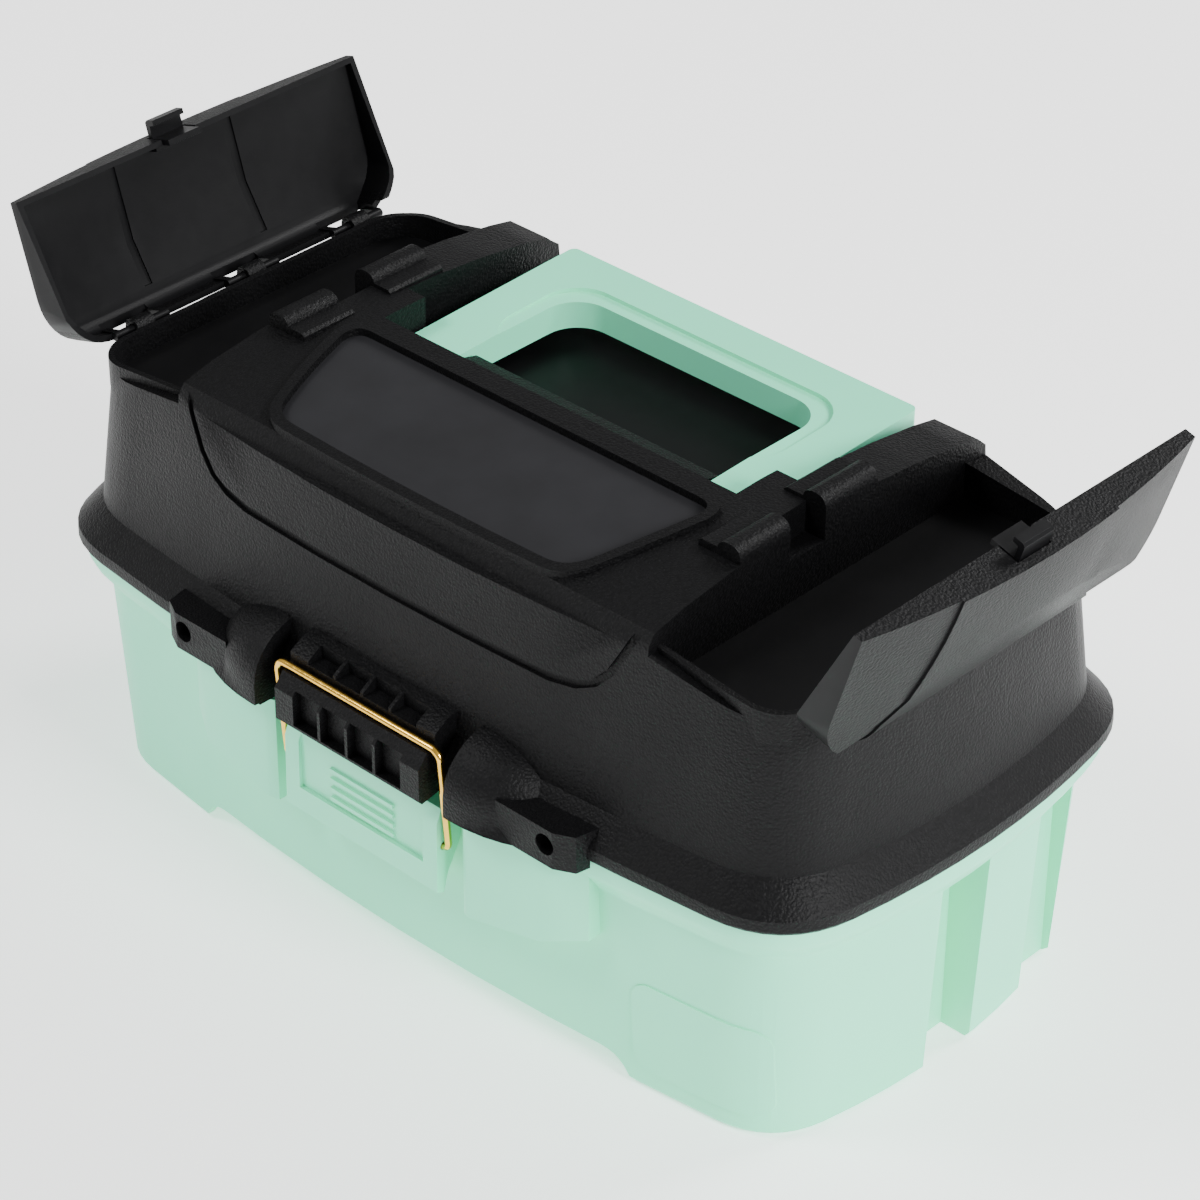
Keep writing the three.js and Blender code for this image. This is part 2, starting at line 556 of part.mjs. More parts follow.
function lidShell() {
  const z0 = LINE_Z + FIT;
  const outer = tub([
    [z0, 0.6],
    [z0 + 1.2, 0],
    [SKIRT_TOP_Z - 2, 0.2],
    [SKIRT_TOP_Z, 1.6],
    [SHOULDER_Z - 1, WALL_INSET - 1.6],
    [SHOULDER_Z + 1, lidInset(SHOULDER_Z + 1)],
    [LEDGE_Z, lidInset(LEDGE_Z)],
    [CROWN_Z + 6, lidInset(CROWN_Z + 6)],
  ]);
  // Seen from the front: low shoulders over the bins, the crowned middle between them.
  const ledge = polygon([
    [-HALF_LENGTH, z0 - 1],
    [HALF_LENGTH, z0 - 1],
    [HALF_LENGTH, LEDGE_Z - 8],
    [COVER_HINGE_X + 5, LEDGE_Z - 1],
    [COVER_HINGE_X - 8, LEDGE_Z],
    [CENTRE_HALF, LEDGE_Z + LEDGE_RISE],
    [-CENTRE_HALF, LEDGE_Z + LEDGE_RISE],
    [-COVER_HINGE_X + 8, LEDGE_Z],
    [-COVER_HINGE_X - 5, LEDGE_Z - 1],
    [-HALF_LENGTH, LEDGE_Z - 8],
  ]);
  const side = new THREE.Shape();
  side.moveTo(-HALF_DEPTH, z0 - 1);
  side.lineTo(-HALF_DEPTH, crownAt(CROWN_REACH) - 12);
  side.lineTo(-CROWN_REACH - 2.5, crownAt(CROWN_REACH) - 7);
  side.lineTo(-CROWN_REACH + 2, crownAt(CROWN_REACH) - 0.5);
  for (let i = -3; i <= 3; i += 1) side.lineTo((i * CROWN_REACH) / 3.64, crownAt((i * CROWN_REACH) / 3.64));
  side.lineTo(CROWN_REACH - 4, crownAt(CROWN_REACH) + 0.5);
  side.lineTo(CROWN_REACH + 1, crownAt(CROWN_REACH) - 4);
  side.lineTo(HALF_DEPTH, crownAt(CROWN_REACH) - 14);
  side.lineTo(HALF_DEPTH, z0 - 1);
  const middle = alongX(side, -CENTRE_HALF, CENTRE_HALF);
  let form = outer.intersect(alongY(ledge, -HALF_DEPTH - 1, HALF_DEPTH + 1).add(middle));

  // Label plate frame on the front half, and the raised bar behind it that hides the pivots.
  form = form.add(crownSlab(-4, PLATE_RISE).intersect(upward(plateShape(PLATE_FRAME), 180, 230)));
  const bridge = polygon([
    [-26, CROWN_Z - 8],
    [-26, CROWN_Z - 1.2],
    [-16, CROWN_Z - 0.6],
    [RECESS_FRONT, CROWN_Z - 3],
    [RECESS_FRONT, CROWN_Z - 8],
  ]);
  form = form.add(alongX(bridge, -107, 107));
  form = form.subtract(crownSlab(-PLATE_SUNK, 12).intersect(upward(plateShape(0), 180, 230)));

  // Landing pads beside the notch that each cover's clip snaps into.
  const pads = [
    landingPad(CLIP_Y - 36, CLIP_Y - 9.5, crownAt(30)),
    landingPad(CLIP_Y + 9.5, CLIP_Y + 38, crownAt(14)),
  ];
  form = form.add(bothSides(unionOf(pads)));

  // Groove that runs down from the top edge, along the front and up again.
  const middleLine = [
    [0, GROOVE_Z],
    [CENTRE_HALF - 42, GROOVE_Z],
    [CENTRE_HALF - 30, GROOVE_Z + 2],
    [CENTRE_HALF - 21, GROOVE_Z + 6.5],
    [CENTRE_HALF - 14, GROOVE_Z + 14],
    [CENTRE_HALF - 8, GROOVE_Z + 25],
    [CENTRE_HALF - 2, GROOVE_Z + 38],
  ];
  const band = new THREE.Shape();
  band.moveTo(...middleLine[0]);
  middleLine.slice(1).forEach((p) => band.lineTo(...p));
  [...middleLine].reverse().forEach(([x, z], i) => {
    const slant = i < 4 ? GROOVE_WIDTH * 0.8 : 0;
    band.lineTo(x - slant, z + (i < 4 ? 1.6 : GROOVE_WIDTH));
  });
  const kept = tub([
    [120, lidInset(120) + GROOVE_DEEP],
    [220, lidInset(220) + GROOVE_DEEP],
  ]);
  form = form.subtract(bothSides(alongY(band, -HALF_DEPTH, -HALF_DEPTH + 33.8)).subtract(kept));

  // Hollow underneath.
  const ceiling = BIN_FLOOR_Z - BIN_WALL;
  const hollow = tub([
    [z0 - 1, LID_WALL],
    [SKIRT_TOP_Z - 1, LID_WALL + 0.4],
    [SHOULDER_Z - 1.5, WALL_INSET + LID_WALL - 1.2],
    [SHOULDER_Z + 1, lidInset(SHOULDER_Z) + LID_WALL],
    [ceiling, lidInset(ceiling) + LID_WALL],
  ]);
  const attic = alongX(
    polygon([
      [-CROWN_REACH + 3, ceiling - 1],
      [-CROWN_REACH + 5, crownAt(CROWN_REACH) - 6],
      [-60, crownAt(60) - 4],
      [RECESS_FRONT - 4, crownAt(RECESS_FRONT) - 7],
      [RECESS_FRONT - 4, ceiling - 1],
    ]),
    -CENTRE_HALF + CLIP_REACH + 5,
    CENTRE_HALF - CLIP_REACH - 5,
  );
  form = form.subtract(hollow).subtract(attic);

  // Bins, with a rim that stands up from the ledge.
  const rimTop = polygon([
    [CENTRE_HALF - 2, ceiling - 1],
    [CENTRE_HALF - 2, BIN_RIM_Z[0]],
    [CENTRE_HALF, BIN_RIM_Z[0]],
    [CENTRE_HALF + BIN_LENGTH - 4, BIN_RIM_Z[1]],
    [CENTRE_HALF + BIN_LENGTH + 4, BIN_RIM_Z[1]],
    [CENTRE_HALF + BIN_LENGTH + 4, ceiling - 1],
  ]);
  const rimBox = binBox(BIN_WALL, ceiling, BIN_RIM_Z[0]);
  const rim = bothSides(rimBox.intersect(alongY(rimTop, -HALF_DEPTH, HALF_DEPTH)));
  const bin = bothSides(binBox(0, BIN_FLOOR_Z, CROWN_Z + 20));
  form = form.add(rim).subtract(bin);

  // Notch and ramp in the wall of each bin, under the clip.
  const notch = block(
    CENTRE_HALF - CLIP_REACH - 2,
    CENTRE_HALF + 1,
    CLIP_Y - 9.5,
    CLIP_Y + 9.5,
    COVER_HINGE_Z + COVER_TOP - 5,
    CROWN_Z + 6,
  );
  form = form.subtract(bothSides(notch));

  // The handle's well, open at the back, with the pivot seats at its front corners.
  const seat = -RECESS_FRONT - 4;
  const well = block(
    -RECESS_HALF,
    RECESS_HALF,
    seat,
    HALF_DEPTH,
    RECESS_FLOOR_Z,
    CROWN_Z + 20,
  ).add(
    block(-HANDLE_OUTER - 1.2, HANDLE_OUTER + 1.2, RECESS_FRONT, seat + 1, RECESS_FLOOR_Z, CROWN_Z + 20),
  );
  form = form.subtract(well);
  const trunnion = bar(
    TRUNNION_R + FIT,
    2 * (HANDLE_OUTER + TRUNNION_LONG + FIT),
    "x",
    [0, HANDLE_PIVOT_Y, HANDLE_PIVOT_Z],
  );
  form = form.subtract(trunnion);
  const hump = polygon([
    [RECESS_FRONT - 1, RECESS_FLOOR_Z - 1],
    [RECESS_FRONT - 1, CROWN_Z - 10],
    [3, 197],
    [9, 195.5],
    [11, RECESS_FLOOR_Z - 1],
  ]);
  form = form.add(alongX(hump, -HANDLE_INNER + 2.2, HANDLE_INNER - 2.2));

  // Catch, ears with rounded domes, and padlock tabs.
  form = form.add(catchBlock());
  const tab = polygon([
    [EAR_OUTER - 14, EAR_FRONT + 25.5],
    [EAR_OUTER - 14, EAR_FRONT + 5.5],
    [HOLE_X + 4, EAR_FRONT + 5.5],
    [HOLE_X + 12, EAR_FRONT + 9.5],
    [HOLE_X + 14, EAR_FRONT + 19.5],
  ]);
  const tabs = upward(tab, HOLE_Z - 9, HOLE_Z + 7);
  form = form.add(bothSides(ear().add(tabs)));
  form = form.subtract(bothSides(bar(HOLE_R, 22, "y", [HOLE_X, EAR_FRONT + 0.5, HOLE_Z], 20)));
  form = form.subtract(
    hollow.intersect(block(-HALF_LENGTH, HALF_LENGTH, -HALF_DEPTH, HALF_DEPTH, 90, ceiling)),
  );

  // A catch lip rests on the front wall; the space under the shut lid stays clear of the base.
  const clearBase = tub([
    [LINE_Z - 20, RIM_INSET - 1],
    [LINE_Z, RIM_INSET - 1],
  ]).intersect(block(-HALF_LENGTH, HALF_LENGTH, -HALF_DEPTH, HALF_DEPTH, LINE_Z - 20, LINE_Z));
  form = form.subtract(clearBase);

  // Rear knuckles.
  const knuckles = [];
  for (const x of HINGE_PLACES) {
    knuckles.push(bar(KNUCKLE_R, KNUCKLE_LONG, "x", [x, HINGE_Y, LINE_Z]));
    knuckles.push(
      block(x - KNUCKLE_LONG / 2, x + KNUCKLE_LONG / 2, HINGE_Y - 5, HINGE_Y + 1, LINE_Z + 1, LINE_Z + 9),
    );
  }
  const gaps = [];
  for (const x of HINGE_PLACES) {
    for (const side of [-1, 1]) {
      const at = x + side * (KNUCKLE_LONG + SLACK);
      gaps.push(bar(KNUCKLE_R + SLACK, KNUCKLE_LONG + SLACK, "x", [at, HINGE_Y, LINE_Z]));
    }
  }
  form = form.subtract(unionOf(gaps)).add(unionOf(knuckles));
  form = form.subtract(bar(PIN_R + FIT, 2 * HALF_LENGTH, "x", [0, HINGE_Y, LINE_Z]));

  // Hooks that hold the covers' hinge bars.
  const hooks = [];
  for (const y of COVER_HINGE_PLACES) {
    const half = COVER_HOOK / 2;
    const post = block(
      COVER_HINGE_X - COVER_PIN_R - 2.4,
      COVER_HINGE_X + COVER_PIN_R + 2.4,
      y - half,
      y + half,
      LEDGE_Z - 8,
      COVER_HINGE_Z,
    );
    const round = bar(COVER_PIN_R + 2.4, 2 * half, "y", [COVER_HINGE_X, y, COVER_HINGE_Z]);
    hooks.push(post.add(round));
  }
  const channel = unionOf(
    COVER_HINGE_PLACES.map((y) =>
      bar(COVER_PIN_R + FIT, COVER_SLOT + 8, "y", [COVER_HINGE_X, y, COVER_HINGE_Z]),
    ),
  );
  form = form.add(bothSides(unionOf(hooks))).subtract(bothSides(channel));

  // Bosses that carry the upper tray's rear studs: the lid is the crank of the tray arms.
  const crank = bar(5.5, 24, "x", [ARM_X + ARM_THICK + SLACK + 12, lidStudY(), lidStudZ()]);
  const crankBore = bar(STUD_R + FIT, 14, "x", [ARM_X + ARM_THICK + 6, lidStudY(), lidStudZ()], 16);
  form = form.add(bothSides(crank).intersect(outer)).subtract(bothSides(crankBore));
  return form;
}

// ---------------------------------------------------------------- bin covers, drawn shut
function coverShut() {
  const x0 = COVER_HINGE_X;
  const z0 = COVER_HINGE_Z;
  const free = CENTRE_HALF + 0.8;
  const top = z0 + COVER_TOP;
  // Cross-section from the hinge up, over and down to the free edge.
  const outerSide = new THREE.Shape();
  outerSide.moveTo(x0 + COVER_THICK / 2 + 0.4, z0 + 4);
  outerSide.lineTo(x0 + COVER_THICK / 2 + 0.4, top - 7);
  outerSide.quadraticCurveTo(x0 + 1, top - 0.5, x0 - 7, top);
  outerSide.lineTo(free, top + 3.2);
  outerSide.lineTo(free, z0 + 3);
  // Crown along Y, so that the shut cover runs on from the middle of the lid.
  const crown = new THREE.Shape();
  crown.moveTo(COVER_FRONT + 1.5, z0 - 3.5);
  crown.lineTo(COVER_FRONT, z0 + 9);
  for (let i = 0; i <= 12; i += 1) {
    const y = COVER_FRONT + ((COVER_BACK - COVER_FRONT) * i) / 12;
    crown.lineTo(y, crownAt(y) - 1.2);
  }
  crown.lineTo(COVER_BACK, z0 + 9);
  crown.lineTo(COVER_BACK - 1.5, z0 - 3.5);
  const skin = alongX(crown, free, x0 + 6);
  const planShape = roundedRect(free - 40, x0 + COVER_THICK / 2 + 0.4, COVER_FRONT, COVER_BACK, 24);
  const bowed = upward(planShape, z0 - 10, top + 20);
  // Deeper towards the hinge, as the ledge it sits on slopes away.
  const hull = polygon([
    [free, z0 + COVER_TOP - COVER_FREE_DEPTH + 3],
    [free, top + 20],
    [x0 + 10, top + 20],
    [x0 + 10, z0 - 2.2],
    [x0 - 12, z0 - 2.2],
  ]);
  const raised = unionOf([
    alongY(outerSide, COVER_FRONT, COVER_BACK),
    alongY(
      polygon([
        [free, top],
        [free, top + 12],
        [x0 - 40, top + 9],
        [x0 - 7, top],
      ]),
      COVER_FRONT,
      COVER_BACK,
    ),
    alongY(
      polygon([
        [free, z0 - 2.2],
        [free, z0 + 8],
        [x0 + COVER_THICK / 2 + 0.4, z0 + 8],
        [x0 + COVER_THICK / 2 + 0.4, z0 - 2.2],
      ]),
      COVER_FRONT,
      COVER_BACK,
    ),
  ]);
  const shape = raised.intersect(skin).intersect(bowed).intersect(alongY(hull, COVER_FRONT, COVER_BACK));
  return { shape, free, top };
}

function cover() {
  const { shape, free, top } = coverShut();
  const x0 = COVER_HINGE_X;
  const z0 = COVER_HINGE_Z;
  // Hollow: the same skin moved in by the thickness on every side.
  const inner = new THREE.Shape();
  inner.moveTo(x0 - COVER_THICK / 2, z0 - 10);
  inner.lineTo(x0 - COVER_THICK / 2, top - 8);
  inner.quadraticCurveTo(x0 - COVER_THICK, top - 2.7, x0 - 8, top - COVER_THICK);
  inner.lineTo(x0 - 40, top + 8.8 - COVER_THICK);
  inner.lineTo(free + COVER_THICK, top + 11.8 - COVER_THICK);
  inner.lineTo(free + COVER_THICK, z0 - 10);
  const crown = new THREE.Shape();
  crown.moveTo(COVER_FRONT + COVER_THICK + 1, z0 - 10);
  crown.lineTo(COVER_FRONT + COVER_THICK + 0.5, z0 + 9);
  for (let i = 0; i <= 12; i += 1) {
    const y = COVER_FRONT + COVER_THICK + ((COVER_BACK - COVER_FRONT - 2 * COVER_THICK) * i) / 12;
    crown.lineTo(y, crownAt(y) - 1.2 - COVER_THICK);
  }
  crown.lineTo(COVER_BACK - COVER_THICK - 0.5, z0 + 9);
  crown.lineTo(COVER_BACK - COVER_THICK - 1, z0 - 10);
  const planShape = roundedRect(
    free - 40,
    x0 - COVER_THICK / 2,
    COVER_FRONT + COVER_THICK,
    COVER_BACK - COVER_THICK,
    22,
  );
  const hollow = alongY(inner, COVER_FRONT, COVER_BACK)
    .intersect(alongX(crown, free + COVER_THICK, x0 + 6))
    .intersect(upward(planShape, z0 - 12, top + 20));
  let form = shape.subtract(hollow);
  // Two shallow channels across the underside.
  const deeper = solid(geometryOf(hollow).translate(0, 0, COVER_CHANNEL_DEEP));
  const channels = COVER_CHANNELS.map((y) =>
    block(free + 5, x0 - 9, y - 2, y + 2, z0, top + 20).intersect(deeper),
  );
  form = form.subtract(unionOf(channels));
  // The ends are lower than the middle band, which widens towards the hinge in a curve.
  const lowered = solid(geometryOf(shape).translate(0, 0, -COVER_STEP));
  const ends = COVER_BAND.map((y, i) => {
    const out = i === 0 ? -1 : 1;
    const far = i === 0 ? COVER_FRONT - 2 : COVER_BACK + 2;
    const region = new THREE.Shape();
    region.moveTo(free - 2, far);
    region.lineTo(free - 2, y);
    region.quadraticCurveTo(x0 - 22, y, x0 + 4, y + out * 24);
    region.lineTo(x0 + 4, far);
    return upward(region, z0 + 8.5, top + 20, 8);
  });
  form = form.subtract(unionOf(ends).subtract(lowered));
  // Hinge edge: slots for the hooks, each bridged by a round bar on the hinge axis.
  form = form.subtract(
    block(
      x0 - 4.8,
      x0 + 10,
      COVER_HINGE_PLACES[0] - COVER_SLOT,
      COVER_HINGE_PLACES[2] + COVER_SLOT,
      z0 - 6,
      z0 + 1.6,
    ),
  );
  for (const y of COVER_HINGE_PLACES) {
    const half = COVER_SLOT / 2;
    form = form.subtract(block(x0 - 6, x0 + 6, y - half, y + half, z0 - 6, z0 + COVER_SLOT_TOP));
    for (const side of [-1, 1]) {
      form = form.add(
        block(x0 - 1.8, x0 + 1.5, y + side * half - 1.6, y + side * half + 1.6, z0, z0 + 8),
      );
      form = form.add(bar(COVER_PIN_R, 3.2, "y", [x0, y + side * half, z0], 16));
    }
    form = form.add(bar(COVER_PIN_R, COVER_SLOT, "y", [x0, y, z0], 16));
  }
  // Notch in the lip for the clip.
  form = form.subtract(
    block(free - 1, free + COVER_THICK + 1, CLIP_Y - 9, CLIP_Y + 9, z0, z0 + COVER_TOP + 2.5),
  );
  return form;
}

// The snap clip hangs on the cover's free edge and reaches down into the notch.
function clip() {
  const free = CENTRE_HALF + 0.8;
  const z0 = COVER_HINGE_Z;
  const y0 = CLIP_Y - CLIP_TONGUE / 2;
  const y1 = CLIP_Y + CLIP_TONGUE / 2;
  const side = polygon([
    [free + 2.6, z0 + 5],
    [free + 2.6, z0 + COVER_TOP + 2.1],
    [free - CLIP_REACH + 1, z0 + COVER_TOP + 2.1],
    [free - CLIP_REACH, z0 + COVER_TOP + 1],
    [free - CLIP_REACH, z0 + COVER_TOP - 3],
    [free - CLIP_REACH + 2.2, z0 + COVER_TOP - 3],
    [free - CLIP_REACH + 2.4, z0 + COVER_TOP - 0.4],
    [free + 0.2, z0 + COVER_TOP - 0.4],
    [free + 0.2, z0 + 5],
  ]);
  const flange = block(
    free + COVER_THICK + FIT,
    free + COVER_THICK + FIT + 1.6,
    y0 - 4,
    y1 + 4,
    z0 + 9,
    z0 + COVER_TOP + 2,
  );
  return alongY(side, y0, y1).add(flange);
}

function openOnHinge(manifold) {
  const form = geometryOf(manifold);
  form.translate(-COVER_HINGE_X, 0, -COVER_HINGE_Z);
  form.rotateY(rad(COVER_OPEN));
  form.translate(COVER_HINGE_X, 0, COVER_HINGE_Z);
  return solid(form);
}

// ---------------------------------------------------------------- handle
function handle() {
  const bottom = HANDLE_TOP_Z - HANDLE_DEEP;
  const front = HANDLE_PIVOT_Y - 7;
  const frame = roundedRect(-HANDLE_OUTER, HANDLE_OUTER, front - 20, HANDLE_BACK, 3);
  const opening = roundedRect(-HANDLE_INNER, HANDLE_INNER, front - 30, HANDLE_BACK - HANDLE_GRIP, 15);
  const scoop = roundedRect(
    -HANDLE_INNER - HANDLE_SCOOP,
    HANDLE_INNER + HANDLE_SCOOP,
    HANDLE_PIVOT_Y + 22,
    HANDLE_BACK - HANDLE_GRIP + HANDLE_SCOOP,
    Math.min(19, (HANDLE_BACK - HANDLE_GRIP) / 4),
  );
  const pocket = roundedRect(
    -HANDLE_OUTER + HANDLE_SKIN,
    HANDLE_OUTER - HANDLE_SKIN,
    front + 14,
    HANDLE_BACK - HANDLE_SKIN,
    2,
  );
  const core = roundedRect(
    -HANDLE_INNER - HANDLE_SKIN,
    HANDLE_INNER + HANDLE_SKIN,
    front,
    HANDLE_BACK - HANDLE_GRIP + HANDLE_SKIN,
    17,
  );
  let form = upward(frame, bottom, HANDLE_TOP_Z);
  // The top slopes down a little towards the pivots, and the ends are round about them.
  const side = new THREE.Shape();
  side.moveTo(HANDLE_PIVOT_Y, bottom - 0.01);
  side.lineTo(HANDLE_BACK, bottom - 0.01);
  side.lineTo(HANDLE_BACK, HANDLE_TOP_Z);
  side.lineTo(HANDLE_PIVOT_Y, HANDLE_PIVOT_Z + 7);
  side.absarc(HANDLE_PIVOT_Y, HANDLE_PIVOT_Z, 7, Math.PI / 2, Math.PI * 1.4);
  form = form.intersect(alongX(side, -HANDLE_OUTER - 1, HANDLE_OUTER + 1));
  form = form.subtract(upward(opening, bottom - 1, HANDLE_TOP_Z + 1));
  form = form.subtract(upward(scoop, HANDLE_TOP_Z - 2.4, HANDLE_TOP_Z + 1));
  const hollow = upward(pocket, bottom - 1, HANDLE_TOP_Z - HANDLE_SKIN - 3.4).subtract(
    upward(core, bottom - 2, HANDLE_TOP_Z),
  );
  const ribs = [];
  for (let x = -72; x <= 72; x += 18) ribs.push(block(x - 0.8, x + 0.8, 60, 100, bottom, HANDLE_TOP_Z));
  for (let y = 14; y <= 62; y += 16) ribs.push(block(-100, 100, y - 0.8, y + 0.8, bottom, HANDLE_TOP_Z));
  form = form.subtract(hollow.subtract(unionOf(ribs)));
  for (const side2 of [-1, 1]) {
    const at = side2 * (HANDLE_OUTER + TRUNNION_LONG / 2 - 1);
    form = form.add(bar(TRUNNION_R, TRUNNION_LONG + 2, "x", [at, HANDLE_PIVOT_Y, HANDLE_PIVOT_Z]));
  }
  return form;
}

// ---------------------------------------------------------------- latch
function latchLever() {
  const top = LEVER_PIVOT_Z + 4.2;
  const side = new THREE.Shape();
  side.moveTo(LEVER_PIVOT_Y - 9, LEVER_BOTTOM + 1.5);
  side.lineTo(LEVER_PIVOT_Y - 5.5, LEVER_BOTTOM);
  side.lineTo(LEVER_PIVOT_Y - 3.2, LEVER_BOTTOM + 8);
  side.lineTo(LEVER_PIVOT_Y + 3.6, LEVER_PIVOT_Z - 14);
  side.lineTo(LEVER_PIVOT_Y + 3.8, LEVER_PIVOT_Z);
  side.absarc(LEVER_PIVOT_Y, LEVER_PIVOT_Z, 3.8, 0, Math.PI / 2);
  side.lineTo(LEVER_PIVOT_Y - 6, top - 0.4);
  side.lineTo(LEVER_PIVOT_Y - 8.5, LEVER_PIVOT_Z - 2);
  const body = alongX(side, -LEVER_HALF, LEVER_HALF);
  // Columns stand proud at both sides of a slightly sunken face.
  const face = block(
    -LEVER_HALF + LEVER_COLUMN,
    LEVER_HALF - LEVER_COLUMN,
    LEVER_PIVOT_Y - 20,
    LEVER_PIVOT_Y - 7,
    LEVER_BOTTOM + 12,
    top + 1,
  );
  let form = body.subtract(face);
  const bars = [];
  for (let i = 0; i < 4; i += 1) {
    const z = LEVER_BOTTOM + 14 + i * 4.4;
    bars.push(block(-17, 17, LEVER_PIVOT_Y - 8.2, LEVER_PIVOT_Y - 6.5, z, z + 1.8));
  }
  form = form.add(unionOf(bars));
  form = form.subtract(bar(LEVER_PIN_R + FIT, 120, "x", [0, LEVER_PIVOT_Y, LEVER_PIVOT_Z], 16));
  form = form.subtract(bar(BAIL_R + FIT, 120, "x", [0, BAIL_END_Y, BAIL_END_Z], 16));
  return form;
}

// One round bar bent to a hoop: ends turned in, legs up, and a straight top over the catch.
function wireBail() {
  const inner = LEVER_HALF - 9;
  const points = [
    [-inner, BAIL_END_Y, BAIL_END_Z],
    [-BAIL_HALF + 2, BAIL_END_Y, BAIL_END_Z],
    [-BAIL_HALF, BAIL_END_Y, BAIL_END_Z + 2],
    [-BAIL_HALF, BAIL_Y, BAIL_TOP_Z - 6],
    [-BAIL_HALF + 1.5, BAIL_Y, BAIL_TOP_Z - 1.6],
    [-BAIL_HALF + 5, BAIL_Y, BAIL_TOP_Z],
    [BAIL_HALF - 5, BAIL_Y, BAIL_TOP_Z],
    [BAIL_HALF - 1.5, BAIL_Y, BAIL_TOP_Z - 1.6],
    [BAIL_HALF, BAIL_Y, BAIL_TOP_Z - 6],
    [BAIL_HALF, BAIL_END_Y, BAIL_END_Z + 2],
    [BAIL_HALF - 2, BAIL_END_Y, BAIL_END_Z],
    [inner, BAIL_END_Y, BAIL_END_Z],
  ].map((p) => new THREE.Vector3(...p));
  const path = new THREE.CurvePath();
  points.slice(1).forEach((to, i) => path.add(new THREE.LineCurve3(points[i], to)));
  const section = new THREE.Shape();
  section.absarc(0, 0, BAIL_R, 0, Math.PI * 2);
  return solid(new THREE.ExtrudeGeometry(section, { steps: 64, extrudePath: path, curveSegments: 5 }));
}

// ---------------------------------------------------------------- trays and their arms
const armDirY = -Math.cos(rad(ARM_ANGLE));
const armDirZ = Math.sin(rad(ARM_ANGLE));
function lidStudY() {
  return HINGE_Y - ARM_REACH * Math.cos(rad(ARM_ANGLE));
}
function lidStudZ() {
  return LINE_Z + ARM_REACH * Math.sin(rad(ARM_ANGLE));
}

function tray(z0, reach, cells) {
  const outer = roundedRect(-TRAY_HALF, TRAY_HALF, TRAY_FRONT, TRAY_BACK, TRAY_CORNER);
  const inner = roundedRect(
    -TRAY_HALF + TRAY_WALL,
    TRAY_HALF - TRAY_WALL,
    TRAY_FRONT + TRAY_WALL,
    TRAY_BACK - TRAY_WALL,
    TRAY_CORNER - TRAY_WALL,
  );
  let form = upward(outer, z0, z0 + TRAY_HIGH).subtract(upward(inner, z0 + TRAY_WALL, z0 + TRAY_HIGH + 1));
  // Moulded walls: one lengthwise, and cross walls behind it.
  const mid = TRAY_FRONT + (TRAY_BACK - TRAY_FRONT) * 0.45;
  const wallTop = z0 + TRAY_HIGH - 3;
  form = form.add(block(-TRAY_HALF + 1, TRAY_HALF - 1, mid - 0.9, mid + 0.9, z0 + 1, wallTop));
  for (let i = 1; i < cells; i += 1) {
    const x = -TRAY_HALF + (2 * TRAY_HALF * i) / cells;
    form = form.add(block(x - 0.9, x + 0.9, mid, TRAY_BACK - 1, z0 + 1, wallTop));
  }
  // Slotted posts on the front cell for a loose divider.
  for (const x of dividerPlaces()) {
    for (const side of [-1, 1]) {
      const at = x + side * 2;
      form = form.add(block(at - 0.8, at + 0.8, TRAY_FRONT + 1, TRAY_FRONT + 5, z0 + 1, wallTop));
      form = form.add(block(at - 0.8, at + 0.8, mid - 4, mid, z0 + 1, wallTop));
    }
  }
  const studs = [];
  const long = ARM_X + ARM_THICK - TRAY_HALF + 1;
  for (const y of ARM_PIVOT_Y) {
    const at = [TRAY_HALF - 1 + long / 2, y + armDirY * reach, ARM_PIVOT_Z + armDirZ * reach];
    studs.push(bar(STUD_R, long, "x", at, 16));
    const collar = ARM_X - SLACK - TRAY_HALF + 1;
    studs.push(bar(4, collar, "x", [TRAY_HALF - 1 + collar / 2, at[1], at[2]], 16));
  }
  return form.add(bothSides(unionOf(studs)));
}

function dividerPlaces() {
  return [-55, 55];
}

function upperTray() {
  const long = ARM_X + ARM_THICK + 12 - TRAY_HALF;
  const at = [TRAY_HALF - 1 + long / 2, lidStudY(), lidStudZ()];
  return tray(UPPER_TRAY_Z, ARM_REACH, 4).add(bothSides(bar(STUD_R, long, "x", at, 16)));
}

function divider(x, z0) {
  const mid = TRAY_FRONT + (TRAY_BACK - TRAY_FRONT) * 0.45;
  return block(
    x - 0.8,
    x + 0.8,
    TRAY_FRONT + TRAY_WALL + FIT,
    mid - 0.9 - FIT,
    z0 + TRAY_WALL + FIT,
    z0 + TRAY_HIGH - 4,
  );
}

// A flat strap with round ends and three holes.
function arm(pivotY) {
  const half = ARM_WIDE / 2;
  const shape = new THREE.Shape();
  shape.absarc(0, 0, half, -Math.PI / 2, Math.PI / 2);
  shape.absarc(-ARM_REACH, 0, half, Math.PI / 2, Math.PI * 1.5);
  for (const at of [0, -ARM_LOWER, -ARM_REACH]) {
    const hole = new THREE.Path();
    hole.absarc(at, 0, STUD_R + FIT, 0, Math.PI * 2, true);
    shape.holes.push(hole);
  }
  const form = new THREE.ExtrudeGeometry(shape, { depth: ARM_THICK, bevelEnabled: false, curveSegments: 6 });
  form.applyMatrix4(
    new THREE.Matrix4().makeBasis(
      new THREE.Vector3(0, 1, 0),
      new THREE.Vector3(0, 0, 1),
      new THREE.Vector3(1, 0, 0),
    ),
  );
  form.rotateX(-rad(ARM_ANGLE));
  return form.translate(ARM_X, pivotY, ARM_PIVOT_Z);
}

